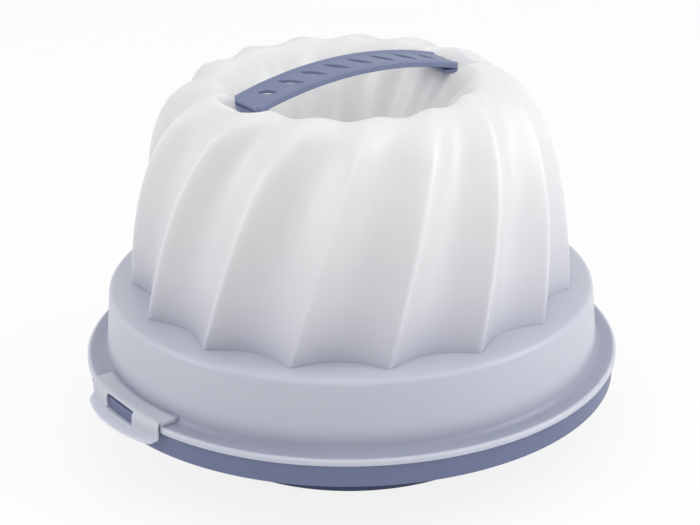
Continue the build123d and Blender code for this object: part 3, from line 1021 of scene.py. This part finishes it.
welded = lathe.node(
    "GeometryNodeMergeByDistance", {}, {"Geometry": turned_grid, "Distance": 0.000002}
)
real = lathe.node("GeometryNodeRealizeInstances", {}, {"Geometry": welded})
coated = lathe.node(
    "GeometryNodeSetMaterial", {}, {"Geometry": real, "Material": size["Material"]}
)
outlet = turned_tree.nodes.new("NodeGroupOutput")
turned_tree.links.new(coated.socket, outlet.inputs[0])

tray_section = rounded(
    [
        (0, deck_z - tray_wall, 0),
        (foot_top_inner_radius, deck_z - tray_wall, 0.0010),
        (foot_inner_radius, 0, 0.0006),
        (foot_radius, 0, 0.0008),
        (foot_top_radius, deck_z - tray_wall, 0.0020),
        (rim_inner_radius, deck_z - tray_wall, 0.0010),
        (rim_inner_radius, wall_low_z, 0.0006),
        (tray_rim_radius, wall_low_z, 0.0009),
        (tray_rim_radius, rim_z, 0.0004),
        (rim_inner_radius, rim_z, 0.0004),
        (rim_inner_radius, deck_z, 0.0008),
        (curb_radius, deck_z, 0.0008),
        (curb_radius, deck_z + curb_height, 0.0007),
        (curb_inner_radius, deck_z + curb_height, 0.0007),
        (curb_inner_radius, deck_z, 0.0010),
        (0, deck_z, 0),
    ],
    4,
)
tray = bpy.data.objects.new("cake_tray", section_mesh("cake_tray", tray_section))
bpy.context.scene.collection.objects.link(tray)
modifier = tray.modifiers.new("turned", "NODES")
modifier.node_group = turned_tree
modifier[turned_keys["Section points"]] = len(tray_section)
modifier[turned_keys["Material"]] = blue
settle(tray)
for side in (1, -1):
    lug = arc(lug_reach, lug_half, side)
    lug += [(side * lug_root, lug_half), (side * lug_root, -lug_half)]
    carve(tray, "UNION", block("lug", [(lug_low_z, lug), (lug_top_z, lug)], 0.0004, blue))
smooth(tray, 35)
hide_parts("base_tray")
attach(tray, "tray")

# ---------------------------------------------------------------- table, light and camera
table = bpy.data.materials.new("pale_table")
table.use_nodes = True
table.node_tree.nodes.clear()
top_sheet = Wire(table.node_tree)
matt = top_sheet.node("ShaderNodeBsdfDiffuse", {}, {"Color": (0.9, 0.9, 0.9, 1.0)})
glow = top_sheet.node("ShaderNodeEmission", {}, {"Color": (1, 1, 1, 1), "Strength": 1.0})
seen = top_sheet.node("ShaderNodeLightPath", {}, {}, "Is Camera Ray")
table_end = table.node_tree.nodes.new("ShaderNodeOutputMaterial")
table_mix = top_sheet.node("ShaderNodeMixShader", {}, {0: seen * 0.85, 1: matt, 2: glow})
table.node_tree.links.new(table_mix.socket, table_end.inputs["Surface"])
floor_mesh = bpy.data.meshes.new("floor")
floor_mesh.from_pydata([(-4, -4, 0), (4, -4, 0), (4, 4, 0), (-4, 4, 0)], [], [(0, 1, 2, 3)])
floor_mesh.materials.append(table)
floor = bpy.data.objects.new("floor", floor_mesh)
bpy.context.scene.collection.objects.link(floor)

room = bpy.data.worlds.new("room")
room.use_nodes = True
room.node_tree.nodes["Background"].inputs["Color"].default_value = (1.0, 1.0, 1.0, 1.0)
room.node_tree.nodes["Background"].inputs["Strength"].default_value = 0.70
bpy.context.scene.world = room

for name, place, width, tall, power in (
    ("right_window", (1.04, -0.91, 0.85), 0.9, 1.2, 9.5),
    ("left_window", (-1.25, 0.66, 0.85), 0.9, 1.2, 5.0),
    ("front_window", (-0.94, -1.37, 1.02), 1.0, 1.0, 3.0),
    ("top_window", (-0.10, -0.15, 1.60), 1.2, 1.2, 3.5),
):
    lamp = bpy.data.lights.new(name, "AREA")
    lamp.shape = "RECTANGLE"
    lamp.size = width
    lamp.size_y = tall
    lamp.energy = power
    lamp_object = bpy.data.objects.new(name, lamp)
    aim = Vector((0, 0, 0.1)) - Vector(place)
    lamp_object.matrix_world = (
        Matrix.Translation(place) @ aim.to_track_quat("-Z", "Y").to_matrix().to_4x4()
    )
    bpy.context.scene.collection.objects.link(lamp_object)

lens = bpy.data.cameras.new("camera")
lens.sensor_width = 36.0
lens.lens = 109.52
lens.shift_x = -0.0011
lens.shift_y = 0.0100
camera = bpy.data.objects.new("camera", lens)
stand = Vector((-0.6460, -0.9399, 0.5798))
aim = Vector((0, 0, 0.0930)) - stand
roll = -0.0118
camera.matrix_world = (
    Matrix.Translation(stand)
    @ aim.to_track_quat("-Z", "Y").to_matrix().to_4x4()
    @ Matrix.Rotation(roll, 4, "Z")
)
bpy.context.scene.collection.objects.link(camera)
bpy.context.scene.camera = camera
bpy.context.scene.view_settings.view_transform = "Standard"
